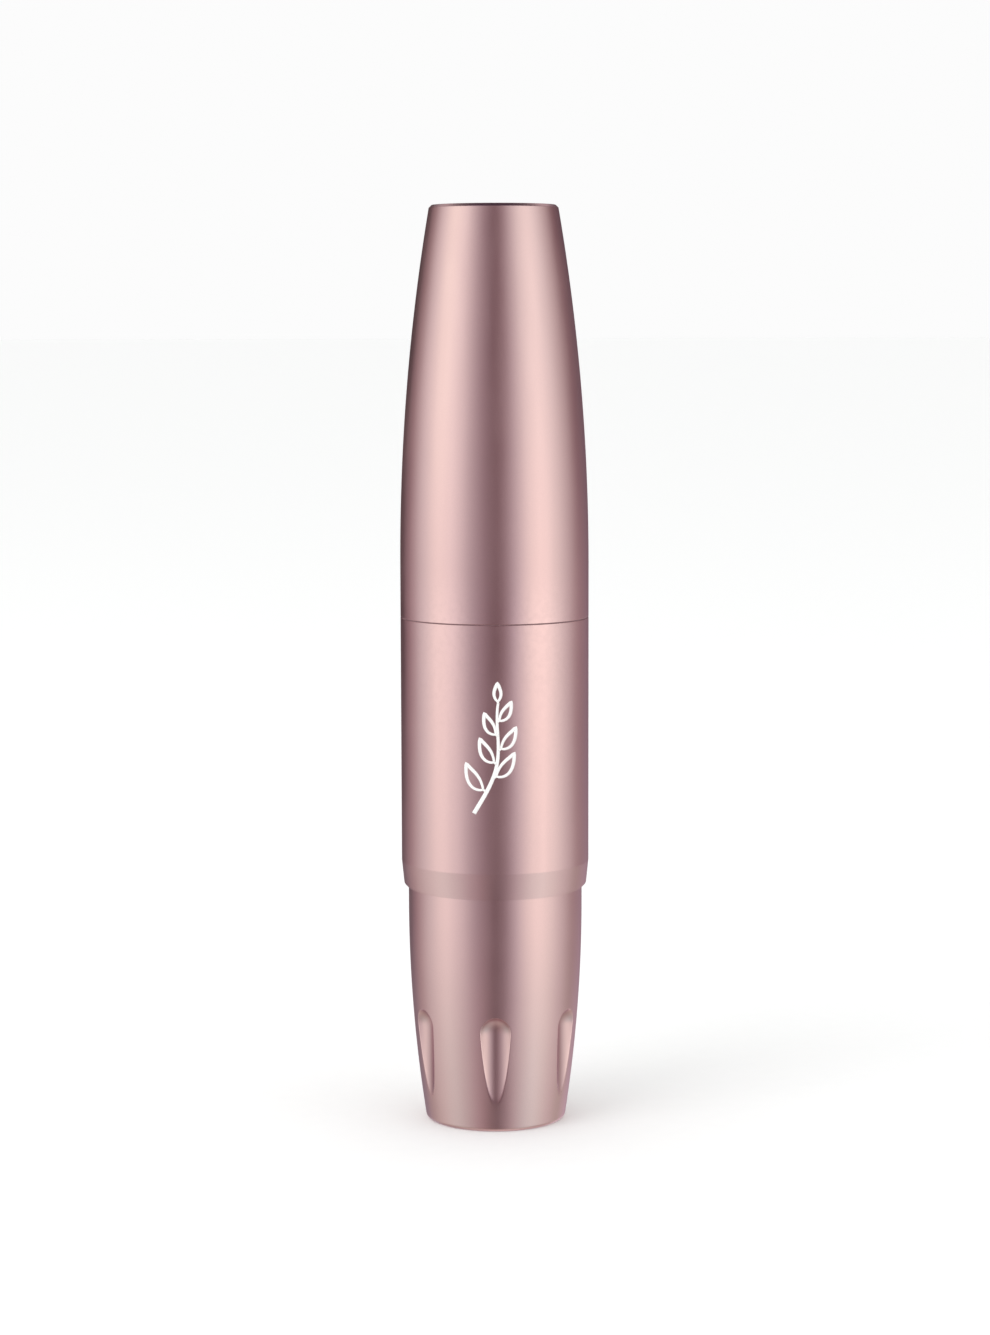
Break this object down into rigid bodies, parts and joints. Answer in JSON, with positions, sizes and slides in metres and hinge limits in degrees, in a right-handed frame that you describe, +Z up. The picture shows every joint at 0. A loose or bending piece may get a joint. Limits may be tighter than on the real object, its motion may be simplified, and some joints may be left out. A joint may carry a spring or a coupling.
{
  "type": "lipstick case",
  "caption": "Slim twist-up lipstick in a tapered metal case with a pull-off cap, a plain sleeve and a fluted base that turns to raise the stick.",
  "frame": {"origin": "middle of the flat foot that the case stands on", "axes": "+Z up along the case's axis from the fluted base to the cap; -Y through the flute that faces the front; +X to the right of it"},
  "size_m": [0.0186, 0.0186, 0.0907],
  "materials": {
    "rose_aluminium": "fine satin, rose-gold anodised",
    "polished_rose": "polished, rose-gold anodised",
    "weight_steel": "plain turned",
    "white_acetal": "moulded, slightly glossy",
    "mauve_plastic": "moulded, matt",
    "dark_silicone": "matt",
    "foam_pad": "matt closed-cell foam",
    "label_paper": "matt, blank",
    "white_ink": "thin screen-printed ink on the sleeve",
    "lipstick_wax": "smooth waxy sheen"
  },
  "bodies": {
    "base": {"base_shell": "rose_aluminium", "shade_label": "label_paper", "base_weight": "weight_steel", "base_weight_pad": "foam_pad", "base_insert": "mauve_plastic", "slotted_tube": "white_acetal", "torque_ring": "dark_silicone", "glide_washer": "white_acetal"},
    "sleeve": {"spiral_tube": "white_acetal", "collar": "polished_rose", "sleeve_core": "mauve_plastic", "sleeve_shell": "rose_aluminium", "seat_washer": "mauve_plastic"},
    "cap": {"cap_shell": "rose_aluminium", "cap_liner": "mauve_plastic", "cap_weight_pad": "foam_pad", "cap_weight": "weight_steel"},
    "stick": {"carrier": "white_acetal", "cup": "polished_rose", "lipstick": "lipstick_wax"}
  },
  "joints": [
    {"name": "twist", "type": "hinge", "parent": "base", "child": "sleeve", "pos_m": [0, 0, 0.025], "axis": [0, 0, -1], "range_deg": [0, 540]},
    {"name": "bullet_rise", "type": "slide", "parent": "base", "child": "stick", "axis": [0, 0, 1], "range_m": [0, 0.024]},
    {"name": "cap_pull", "type": "slide", "parent": "sleeve", "child": "cap", "axis": [0, 0, 1], "range_m": [0, 0.045]}
  ],
  "couplings": [
    {"joint": "bullet_rise", "follows": "twist", "m_per_rad": 0.0025465}
  ]
}
